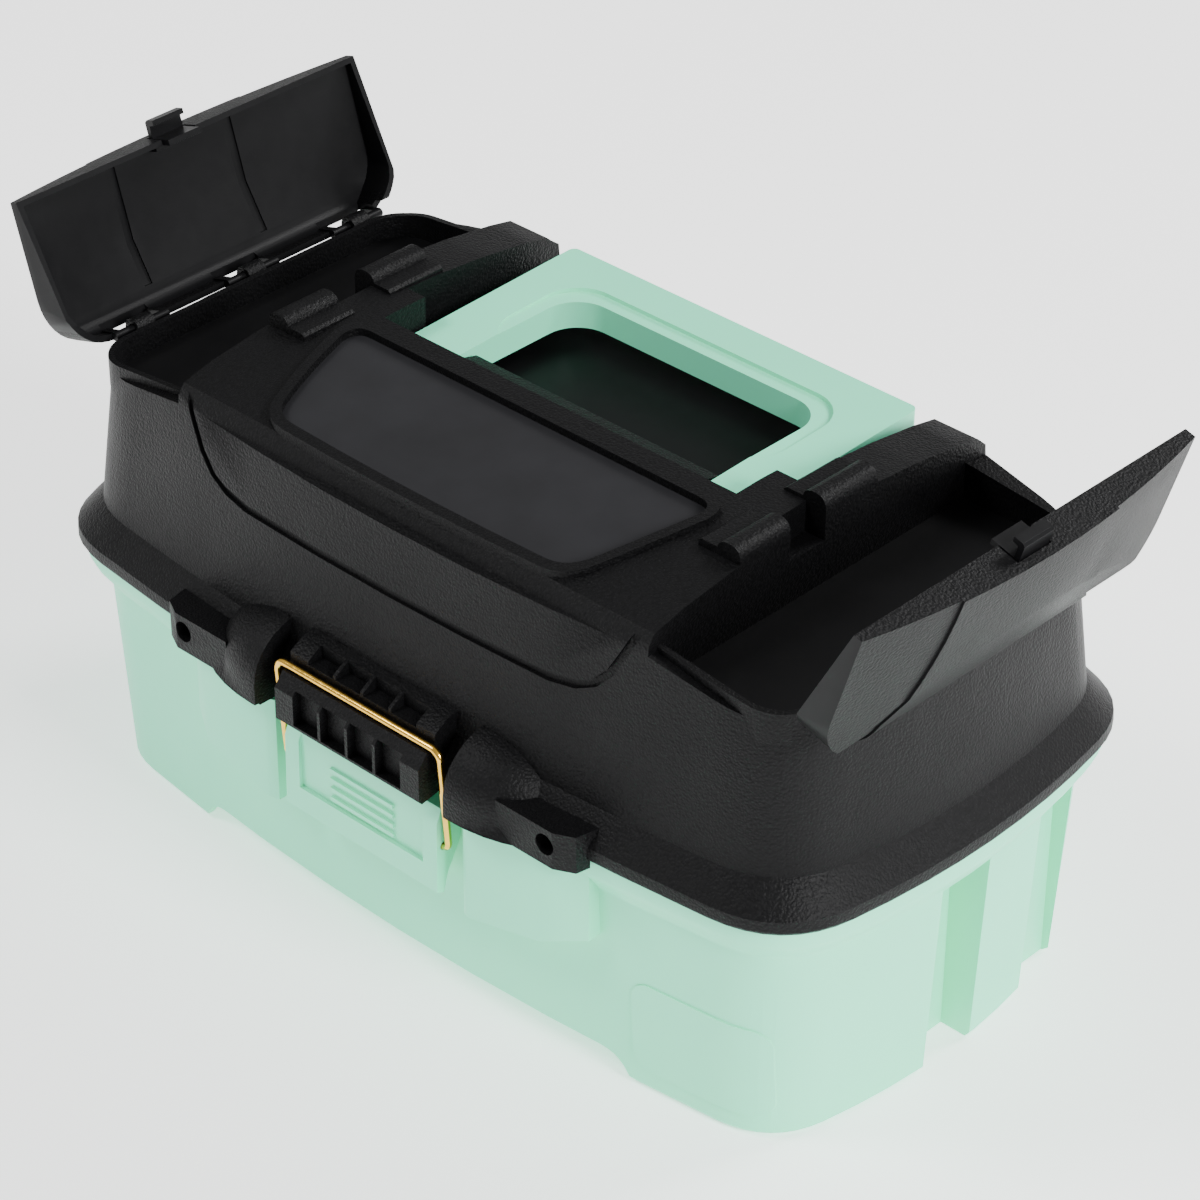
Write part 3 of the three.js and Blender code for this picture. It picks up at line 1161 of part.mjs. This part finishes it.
// ---------------------------------------------------------------- assembly
const finishes = {
  mint: { color: 0xb8e0cd, roughness: 0.42, metalness: 0 },
  black: { color: 0x2c2c2d, roughness: 0.62, metalness: 0 },
  satin: { color: 0x343638, roughness: 0.4, metalness: 0 },
  brass: { color: 0xd8ab4e, roughness: 0.2, metalness: 1 },
  steel: { color: 0xb4b7ba, roughness: 0.35, metalness: 1 },
};

const tackleBox = new THREE.Group();

function place(name, form, finish) {
  const geometry = form.isBufferGeometry ? form : geometryOf(form);
  const mesh = new THREE.Mesh(geometry, new THREE.MeshStandardMaterial(finishes[finish]));
  mesh.name = name;
  tackleBox.add(mesh);
}

place("base_shell", baseShell(), "mint");
place("lid_shell", lidShell(), "black");

const rightCover = openOnHinge(cover());
const rightClip = openOnHinge(clip());
place("right_cover", rightCover, "black");
place("left_cover", mirrorX(rightCover), "black");
place("right_cover_clip", rightClip, "satin");
place("left_cover_clip", mirrorX(rightClip), "satin");

place("handle", handle(), "mint");
place("latch_lever", latchLever(), "mint");
place("wire_bail", wireBail(), "brass");
const latchPin = bar(LEVER_PIN_R, 2 * (LEVER_HALF + 13), "x", [0, LEVER_PIVOT_Y, LEVER_PIVOT_Z], 16);
place("latch_pin", latchPin, "steel");

for (const [name, x] of [["left", HINGE_PLACES[0]], ["right", HINGE_PLACES[1]]]) {
  place(`${name}_hinge_pin`, bar(PIN_R, 3 * KNUCKLE_LONG - 2, "x", [x, HINGE_Y, LINE_Z], 16), "steel");
}

place("upper_tray", upperTray(), "mint");
place("lower_tray", tray(LOWER_TRAY_Z, ARM_LOWER, 3), "mint");
for (const [name, z] of [["upper", UPPER_TRAY_Z], ["lower", LOWER_TRAY_Z]]) {
  dividerPlaces().forEach((x, i) => place(`${name}_divider_${i + 1}`, divider(x, z), "mint"));
}

for (const [name, y] of [["front", ARM_PIVOT_Y[0]], ["rear", ARM_PIVOT_Y[1]]]) {
  const right = arm(y);
  place(`right_${name}_arm`, right, "black");
  place(`left_${name}_arm`, mirrorX(solid(right)), "black");
}

export default tackleBox;
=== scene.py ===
"""A fishing tackle box: moulded tub and lid, two lidded bins, folding handle, draw latch, trays."""
import math

import bpy
from bpy.props import FloatProperty, FloatVectorProperty, PointerProperty
from mathutils import Matrix, Vector


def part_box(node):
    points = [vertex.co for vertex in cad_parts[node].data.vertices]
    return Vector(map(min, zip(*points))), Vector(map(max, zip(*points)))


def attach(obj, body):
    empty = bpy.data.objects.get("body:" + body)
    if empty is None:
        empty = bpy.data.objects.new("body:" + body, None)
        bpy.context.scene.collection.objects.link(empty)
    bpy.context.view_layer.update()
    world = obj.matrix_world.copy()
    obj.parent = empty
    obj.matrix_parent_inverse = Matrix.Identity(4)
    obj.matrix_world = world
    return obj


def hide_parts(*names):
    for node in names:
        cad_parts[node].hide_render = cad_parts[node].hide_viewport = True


bl_info = {
    "name": "Tackle box",
    "version": (1, 0, 0),
    "blender": (4, 5, 0),
    "location": "View3D > Sidebar > Tackle box",
    "description": "Builds the looks of a fishing tackle box round its fixed frame",
    "category": "Object",
}

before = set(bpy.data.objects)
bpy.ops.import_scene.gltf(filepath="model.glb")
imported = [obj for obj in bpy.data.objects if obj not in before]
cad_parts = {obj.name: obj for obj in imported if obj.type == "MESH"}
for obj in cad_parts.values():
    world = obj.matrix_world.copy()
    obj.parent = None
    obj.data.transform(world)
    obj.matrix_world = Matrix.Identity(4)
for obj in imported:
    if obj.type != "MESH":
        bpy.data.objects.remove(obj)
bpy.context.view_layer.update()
MM = 0.001

# Places on the lid, in millimetres
CROWN_TOP = 210.5
CROWN_FALL = 9
CROWN_REACH = 91
FLOOR_LOW = 178
FLOOR_HIGH = 180.5
BIN_START = 121.9
WELL_START = -14
PLATE_HALF = 80
PLATE_FRONT = -86
PLATE_BACK = -26

# Camera and lamps, in metres
CAMERA_PLACE = (0.8895, -0.9258, 0.9755)
CAMERA_RIGHT = (0.72378, 0.69002, 0.00403)
CAMERA_UP = (-0.38645, 0.40051, 0.83081)
CAMERA_BACK = (0.57167, -0.60288, 0.55654)
CAMERA_LENS = 119.75
LAMPS = (
    ("key", (-1.4, -1.6, 2.6), 0.9, 60),
    ("side", (2.6, -0.2, 1.6), 0.9, 120),
    ("back", (0.9, 2.6, 2.2), 1.0, 90),
)
LAMP_TARGET = (0, 0, 0.12)


# ------------------------------------------------------------------ settings
class TackleSizes(bpy.types.PropertyGroup):
    """Sizes of the moulded details"""

    shell_edge: FloatProperty(
        name="Shell edges",
        description="Rounding of the edges of the tub, the lid and the bin covers",
        default=0.9 * MM, min=0.1 * MM, max=3 * MM, unit="LENGTH", precision=4,
    )
    small_edge: FloatProperty(
        name="Small edges",
        description="Rounding of the edges of the latch, clips, arms and trays",
        default=0.45 * MM, min=0.05 * MM, max=2 * MM, unit="LENGTH", precision=4,
    )
    handle_edge: FloatProperty(
        name="Handle edges",
        description="Rounding of the edges of the carrying handle",
        default=1.6 * MM, min=0.1 * MM, max=4 * MM, unit="LENGTH", precision=4,
    )
    wire: FloatProperty(
        name="Bail wire",
        description="Thickness of the brass wire of the latch",
        default=3.0 * MM, min=1 * MM, max=4 * MM, unit="LENGTH", precision=4,
    )
    grain: FloatProperty(
        name="Grain",
        description="Width of one pebble of the lid's moulded grain",
        default=1.0 * MM, min=0.3 * MM, max=4 * MM, unit="LENGTH", precision=4,
    )


class TackleColours(bpy.types.PropertyGroup):
    """Colours of the box's materials"""

    mint: FloatVectorProperty(
        name="Mint", description="Colour of the tub, handle, lever and trays",
        subtype="COLOR", size=3, min=0, max=1, default=(0.20, 0.82, 0.52),
    )
    black: FloatVectorProperty(
        name="Black", description="Colour of the lid and the bin covers",
        subtype="COLOR", size=3, min=0, max=1, default=(0.0030, 0.0030, 0.0033),
    )
    brass: FloatVectorProperty(
        name="Brass", description="Colour of the latch's wire",
        subtype="COLOR", size=3, min=0, max=1, default=(0.90, 0.54, 0.09),
    )


# ------------------------------------------------------------------ materials
class Maker:
    """Adds and joins the nodes of one material"""

    def __init__(self, name):
        self.material = bpy.data.materials.new(name)
        self.material.use_nodes = True
        self.tree = self.material.node_tree
        self.shader = self.tree.nodes["Principled BSDF"]
        self.place = self.tree.nodes.new("ShaderNodeTexCoord").outputs["Object"]

    def node(self, kind, **values):
        made = self.tree.nodes.new(kind)
        for key, value in values.items():
            if key in made.inputs:
                made.inputs[key].default_value = value
            else:
                setattr(made, key, value)
        return made

    def join(self, out, into):
        self.tree.links.new(out, into)

    def noise(self, per_metre, detail=2.0, rough=0.5):
        made = self.node("ShaderNodeTexNoise", Scale=per_metre, Detail=detail, Roughness=rough)
        self.join(self.place, made.inputs["Vector"])
        return made.outputs["Fac"]

    def cells(self, per_metre, feature="F1"):
        made = self.node("ShaderNodeTexVoronoi", feature=feature, Scale=per_metre)
        self.join(self.place, made.inputs["Vector"])
        return made.outputs["Distance"]

    def spread(self, value, low, high, to_low, to_high):
        made = self.node("ShaderNodeMapRange")
        made.inputs["From Min"].default_value = low
        made.inputs["From Max"].default_value = high
        made.inputs["To Min"].default_value = to_low
        made.inputs["To Max"].default_value = to_high
        self.join(value, made.inputs["Value"])
        return made.outputs["Result"]

    def blend(self, amount, first, second):
        made = self.node("ShaderNodeMix", data_type="RGBA")
        self.join(amount, made.inputs["Factor"])
        for socket, value in (("A", first), ("B", second)):
            chosen = [s for s in made.inputs if s.name == socket and s.type == "RGBA"][0]
            chosen.default_value = (*value, 1)
        return [s for s in made.outputs if s.type == "RGBA"][0]

    def add(self, first, second, gain):
        made = self.node("ShaderNodeMath", operation="MULTIPLY_ADD")
        self.join(second, made.inputs[0])
        made.inputs[1].default_value = gain
        self.join(first, made.inputs[2])
        return made.outputs["Value"]

    def bump(self, height, depth, strength=1.0):
        made = self.node("ShaderNodeBump", Distance=depth, Strength=strength)
        self.join(height, made.inputs["Height"])
        self.join(made.outputs["Normal"], self.shader.inputs["Normal"])

    def tint(self, value, colour, dark, light):
        """Colours the plastic or metal between two shades of one colour"""
        amount = self.spread(value, 0.3, 0.7, 0, 1)
        mixed = self.blend(amount, scaled(colour, dark), scaled(colour, light))
        self.join(mixed, self.shader.inputs["Base Color"])

    def gloss(self, value, smoothest, roughest):
        """Varies the roughness between two values"""
        amount = self.spread(value, 0.3, 0.7, smoothest, roughest)
        self.join(amount, self.shader.inputs["Roughness"])

    def set(self, **values):
        """Sets the shader's own sockets; an underscore stands for a space"""
        for name, value in values.items():
            self.shader.inputs[name.replace("_", " ")].default_value = value


def scaled(colour, by):
    return tuple(min(1.0, channel * by) for channel in colour)


def mint_plastic(name="mint moulded plastic", rough=0.40, grain=0.00005):
    """Opaque satin plastic: faint flow marks in its colour and a very fine moulded texture"""
    make = Maker(name)
    make.tint(make.noise(7, 3.0), bpy.context.scene.tackle_colours.mint, 0.965, 1.03)
    make.gloss(make.noise(60, 2.0), rough - 0.04, rough + 0.05)
    make.bump(make.add(make.noise(1500, 2.0), make.noise(240, 1.0), 0.35), grain, 0.7)
    make.set(Subsurface_Weight=0.06, Subsurface_Scale=0.002, IOR=1.49)
    return make.material


def black_grain(name="black pebble plastic"):
    """Black plastic with a pebbled leather-like grain, its pebble tops painted lighter as a painted
    highlight
    """
    make = Maker(name)
    per_metre = 1 / bpy.context.scene.tackle_sizes.grain
    pebble = make.cells(per_metre, "SMOOTH_F1")
    crease = make.noise(per_metre * 1.6, 3.0, 0.6)
    height = make.add(make.spread(pebble, 0.0, 0.8, 1.0, 0.0), crease, 0.8)
    black = bpy.context.scene.tackle_colours.black
    # Painted highlight: the higher a pebble's top, the lighter its colour
    pebble_top_highlight = make.spread(height, 0.5, 1.3, 0, 1)
    colour = make.blend(pebble_top_highlight, scaled(black, 0.7), scaled(black, 1.5))
    make.join(colour, make.shader.inputs["Base Color"])
    make.gloss(make.noise(25, 3.0), 0.42, 0.50)
    make.bump(height, 0.00028, 0.85)
    make.set(IOR=1.47, Specular_IOR_Level=0.14)
    return make.material


def black_smooth(name="black smooth plastic", rough=0.46, tone=1.0):
    """The smoother black of the label plate, the bins' insides and the covers' undersides; a high
    tone, as on the plate, is a painted reflection
    """
    make = Maker(name)
    black = bpy.context.scene.tackle_colours.black
    make.tint(make.noise(40, 3.0), black, 0.9 * tone, 1.12 * tone)
    make.gloss(make.noise(140, 3.0), rough - 0.02, rough + 0.03)
    make.bump(make.noise(2200, 2.0), 0.00004, 0.6)
    make.set(IOR=1.47, Specular_IOR_Level=0.14)
    return make.material


def brass_wire(name="polished brass wire"):
    """Bright brass with fine drawing lines and slightly duller patches"""
    make = Maker(name)
    make.tint(make.noise(220, 2.0), bpy.context.scene.tackle_colours.brass, 0.88, 1.06)
    make.gloss(make.noise(500, 3.0), 0.13, 0.24)
    make.bump(make.noise(4000, 2.0), 0.00002, 0.4)
    make.set(Metallic=1.0)
    return make.material


def steel_rod(name="drawn steel rod"):
    """Plain drawn steel of the hinge and latch pins"""
    make = Maker(name)
    amount = make.spread(make.noise(300, 2.0), 0.3, 0.7, 0, 1)
    colour = make.blend(amount, (0.42, 0.43, 0.44), (0.58, 0.58, 0.6))
    make.join(colour, make.shader.inputs["Base Color"])
    make.gloss(make.noise(900, 3.0), 0.28, 0.42)
    make.bump(make.noise(3000, 2.0), 0.00002, 0.5)
    make.set(Metallic=1.0)
    return make.material


# ------------------------------------------------------------------ modelling
def nothing_selected():
    if bpy.context.object and bpy.context.object.mode != "OBJECT":
        bpy.ops.object.mode_set(mode="OBJECT")
    bpy.ops.object.select_all(action="DESELECT")


def take_up(piece):
    nothing_selected()
    piece.select_set(True)
    bpy.context.view_layer.objects.active = piece


def modify(piece, kind, **values):
    take_up(piece)
    made = piece.modifiers.new(kind.lower(), kind)
    for key, value in values.items():
        setattr(made, key, value)
    bpy.ops.object.modifier_apply(modifier=made.name)


def smooth(piece, degrees=38):
    take_up(piece)
    bpy.ops.object.shade_smooth_by_angle(angle=math.radians(degrees))


def from_frame(node, name, edge, finish, body, segments=2):
    """A piece on a frame node's shape: triangles joined, edges rounded, faces smoothed"""
    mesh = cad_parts[node].data.copy()
    piece = bpy.data.objects.new(name, mesh)
    bpy.context.collection.objects.link(piece)
    take_up(piece)
    mesh.materials.clear()
    for material in finish:
        mesh.materials.append(material)
    if mesh.has_custom_normals:
        bpy.ops.mesh.customdata_custom_splitnormals_clear()
    bpy.ops.object.mode_set(mode="EDIT")
    bpy.ops.mesh.select_all(action="SELECT")
    bpy.ops.mesh.remove_doubles(threshold=0.004 * MM)
    bpy.ops.mesh.dissolve_limited(angle_limit=math.radians(0.5))
    bpy.ops.object.mode_set(mode="OBJECT")
    if edge:
        modify(
            piece, "BEVEL", width=edge, segments=segments, limit_method="ANGLE",
            angle_limit=math.radians(32), use_clamp_overlap=True,
        )
    smooth(piece)
    modify(piece, "WEIGHTED_NORMAL", keep_sharp=True)
    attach(piece, body)
    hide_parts(node)
    return piece


def paint(piece, index, test):
    """Gives a material slot to the faces whose middle and direction pass a test"""
    for face in piece.data.polygons:
        if test(face.center / MM, face.normal):
            face.material_index = index


class Step:
    """What every step of the build shares"""

    bl_options = {"REGISTER", "UNDO"}


class TACKLE_OT_base(Step, bpy.types.Operator):
    """Finish the moulded tub with its feet, end grooves and latch bosses"""

    bl_idname = "tackle.base"
    bl_label = "Tub"

    def execute(self, context):
        sizes = context.scene.tackle_sizes
        from_frame("base_shell", "tub", sizes.shell_edge, [mint_plastic()], "base")
        return {"FINISHED"}


class TACKLE_OT_lid(Step, bpy.types.Operator):
    """Finish the lid: pebbled outside, smooth label plate painted lighter as a painted reflection,
    bins and handle well
    """

    bl_idname = "tackle.lid"
    bl_label = "Lid"

    def execute(self, context):
        sizes = context.scene.tackle_sizes
        # The plate's black is lightened 5.5 times: a painted reflection of the soft light on the
        # smooth plate
        finish = [black_grain(), black_smooth(), black_smooth("plate plastic lightened as painted reflection", 0.34, 5.5)]
        lid = from_frame("lid_shell", "lid", sizes.shell_edge, finish, "lid")

        def floors(at, way):
            inside = abs(at.x) > BIN_START or at.y > WELL_START
            return way.z > 0.9 and FLOOR_LOW < at.z < FLOOR_HIGH and inside

        def plate(at, way):
            crown = CROWN_TOP - CROWN_FALL * (at.y / CROWN_REACH) ** 2
            inside = abs(at.x) < PLATE_HALF and PLATE_FRONT < at.y < PLATE_BACK
            return way.z > 0.9 and crown - 2 < at.z < crown - 0.4 and inside

        paint(lid, 1, floors)
        # The plate faces get the lightened black, a painted reflection
        paint(lid, 2, plate)
        return {"FINISHED"}


class TACKLE_OT_covers(Step, bpy.types.Operator):
    """Finish the two bin covers and their snap clips"""

    bl_idname = "tackle.covers"
    bl_label = "Bin covers"

    def execute(self, context):
        sizes = context.scene.tackle_sizes
        finish = [black_grain("cover pebble plastic"), black_smooth("cover plastic", 0.40, 1.5)]
        satin = black_smooth("clip plastic", 0.34, 1.5)
        for side, out in (("left", -1), ("right", 1)):
            body = f"{side}_cover"
            cover = from_frame(
                body, f"{side}_bin_cover", sizes.shell_edge * 0.7, finish, body
            )
            paint(cover, 1, lambda at, way: way.x * out < 0.2 and way.z > -0.6)
            node = f"{body}_clip"
            from_frame(node, f"{side}_clip", sizes.small_edge, [satin], body)
        return {"FINISHED"}


class TACKLE_OT_handle(Step, bpy.types.Operator):
    """Finish the folding handle"""

    bl_idname = "tackle.handle"
    bl_label = "Handle"

    def execute(self, context):
        sizes = context.scene.tackle_sizes
        plastic = mint_plastic("mint handle plastic", 0.36, 0.00003)
        from_frame(
            "handle", "carry_handle", sizes.handle_edge, [plastic], "handle", 3
        )
        return {"FINISHED"}


class TACKLE_OT_latch(Step, bpy.types.Operator):
    """Make the latch: its lever and the bent brass wire"""

    bl_idname = "tackle.latch"
    bl_label = "Latch"

    def execute(self, context):
        sizes = context.scene.tackle_sizes
        plastic = mint_plastic("mint lever plastic", 0.34, 0.00003)
        from_frame(
            "latch_lever", "lever", sizes.small_edge, [plastic], "latch_lever", 3
        )
        low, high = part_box("wire_bail")
        radius = sizes.wire / 2
        bottom = low.z + radius
        top = high.z - radius
        half = high.x - radius
        front = low.y + radius
        back = high.y - radius
        corner = 4.5 * MM
        nothing_selected()
        curve = bpy.data.curves.new("bail_wire", "CURVE")
        curve.dimensions = "3D"
        route = [(-half + 11 * MM, back, bottom)]
        for side in (-1, 1):
            bend = []
            for step in range(7):
                turn = math.radians(90 * step / 6)
                bend.append((
                    side * (half - 2.5 * MM + 2.5 * MM * math.sin(turn)), back,
                    bottom + 2.5 * MM - 2.5 * MM * math.cos(turn),
                ))
            crown = []
            for step in range(9):
                turn = math.radians(90 * step / 8)
                crown.append((
                    side * (half - corner + corner * math.cos(turn)), front,
                    top - corner + corner * math.sin(turn),
                ))
            route += bend + crown if side < 0 else crown[::-1] + bend[::-1]
        route.append((half - 11 * MM, back, bottom))
        spline = curve.splines.new("POLY")
        spline.points.add(len(route) - 1)
        for point, at in zip(spline.points, route):
            point.co = (*at, 1)
        curve.bevel_depth = radius
        curve.bevel_resolution = 6
        curve.use_fill_caps = True
        wire = bpy.data.objects.new("brass_bail", curve)
        context.collection.objects.link(wire)
        take_up(wire)
        bpy.ops.object.convert(target="MESH")
        wire = context.object
        wire.name = "brass_bail"
        bpy.ops.object.mode_set(mode="EDIT")
        bpy.ops.mesh.select_all(action="SELECT")
        bpy.ops.mesh.remove_doubles(threshold=0.001 * MM)
        bpy.ops.mesh.normals_make_consistent(inside=False)
        bpy.ops.object.mode_set(mode="OBJECT")
        wire.data.materials.clear()
        wire.data.materials.append(brass_wire())
        smooth(wire, 50)
        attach(wire, "wire_bail")
        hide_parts("wire_bail")
        return {"FINISHED"}


class TACKLE_OT_pins(Step, bpy.types.Operator):
    """Finish the hinge pins and the latch pin"""

    bl_idname = "tackle.pins"
    bl_label = "Pins"

    def execute(self, context):
        sizes = context.scene.tackle_sizes
        steel = steel_rod()
        for node in ("latch_pin", "left_hinge_pin", "right_hinge_pin"):
            from_frame(node, f"{node}_rod", sizes.small_edge, [steel], "base")
        return {"FINISHED"}


class TACKLE_OT_trays(Step, bpy.types.Operator):
    """Finish the two trays and their loose dividers"""

    bl_idname = "tackle.trays"
    bl_label = "Trays"

    def execute(self, context):
        sizes = context.scene.tackle_sizes
        plastic = mint_plastic("mint tray plastic", 0.33, 0.00003)
        for level in ("upper", "lower"):
            body = f"{level}_tray"
            pieces = [(body, f"{body}_moulding")]
            for number in (1, 2):
                node = f"{level}_divider_{number}"
                pieces.append((node, f"{node}_wall"))
            for node, name in pieces:
                from_frame(node, name, sizes.small_edge, [plastic], body)
        return {"FINISHED"}


class TACKLE_OT_arms(Step, bpy.types.Operator):
    """Finish the four arms that carry the trays"""

    bl_idname = "tackle.arms"
    bl_label = "Tray arms"

    def execute(self, context):
        sizes = context.scene.tackle_sizes
        plastic = black_smooth("black arm plastic", 0.42)
        for side in ("left", "right"):
            for place in ("front", "rear"):
                node = f"{side}_{place}_arm"
                name = f"{node}_strap"
                from_frame(node, name, sizes.small_edge, [plastic], node)
        return {"FINISHED"}


class TACKLE_OT_stage(Step, bpy.types.Operator):
    """Set up the pale floor, the soft lights and the camera"""

    bl_idname = "tackle.stage"
    bl_label = "Stage"

    def execute(self, context):
        nothing_selected()
        bpy.ops.mesh.primitive_plane_add(size=14, location=(0, 0, 0))
        floor = context.object
        floor.name = "floor"
        make = Maker("pale floor")
        colour = make.blend(make.noise(2.0, 2.0), (0.90, 0.90, 0.90), (0.93, 0.93, 0.93))
        make.join(colour, make.shader.inputs["Base Color"])
        make.shader.inputs["Roughness"].default_value = 0.9
        make.shader.inputs["Emission Color"].default_value = (1.0, 1.0, 1.0, 1)
        make.shader.inputs["Emission Strength"].default_value = 0.9
        floor.data.materials.append(make.material)

        world = bpy.data.worlds.new("soft room")
        context.scene.world = world
        world.use_nodes = True
        sky = world.node_tree.nodes["Background"]
        sky.inputs["Color"].default_value = (1.0, 1.0, 1.0, 1)
        sky.inputs["Strength"].default_value = 0.5

        for name, at, size, power in LAMPS:
            nothing_selected()
            bpy.ops.object.light_add(type="AREA", location=at)
            lamp = context.object
            lamp.name = f"{name}_light"
            lamp.data.shape = "SQUARE"
            lamp.data.size = size
            lamp.data.energy = power
            aim = Vector(LAMP_TARGET) - Vector(at)
            lamp.rotation_euler = aim.to_track_quat("-Z", "Y").to_euler()

        axes = Matrix((CAMERA_RIGHT, CAMERA_UP, CAMERA_BACK))
        bpy.ops.object.camera_add()
        camera = context.object
        camera.name = "camera"
        camera.matrix_world = Matrix.Translation(CAMERA_PLACE) @ axes.transposed().to_4x4()
        camera.data.lens = CAMERA_LENS
        camera.data.sensor_width = 36
        camera.data.clip_end = 100
        context.scene.camera = camera
        return {"FINISHED"}


STEPS = (
    TACKLE_OT_stage,
    TACKLE_OT_base,
    TACKLE_OT_lid,
    TACKLE_OT_covers,
    TACKLE_OT_handle,
    TACKLE_OT_latch,
    TACKLE_OT_pins,
    TACKLE_OT_trays,
    TACKLE_OT_arms,
)


class TACKLE_PT_panel(bpy.types.Panel):
    """Sizes, colours and steps of the tackle box"""

    bl_idname = "TACKLE_PT_panel"
    bl_label = "Tackle box"
    bl_space_type = "VIEW_3D"
    bl_region_type = "UI"
    bl_category = "Tackle box"

    def draw(self, context):
        for group in (context.scene.tackle_sizes, context.scene.tackle_colours):
            box = self.layout.box()
            for name in group.__annotations__:
                box.prop(group, name)
        for step in STEPS:
            self.layout.operator(step.bl_idname)


CLASSES = (TackleSizes, TackleColours, *STEPS, TACKLE_PT_panel)


def register():
    for made in CLASSES:
        bpy.utils.register_class(made)
    bpy.types.Scene.tackle_sizes = PointerProperty(type=TackleSizes)
    bpy.types.Scene.tackle_colours = PointerProperty(type=TackleColours)


def unregister():
    del bpy.types.Scene.tackle_colours
    del bpy.types.Scene.tackle_sizes
    for made in reversed(CLASSES):
        bpy.utils.unregister_class(made)


def main():
    register()
    for step in STEPS:
        group, name = step.bl_idname.split(".")
        getattr(getattr(bpy.ops, group), name)()


if __name__ == "__main__":
    main()
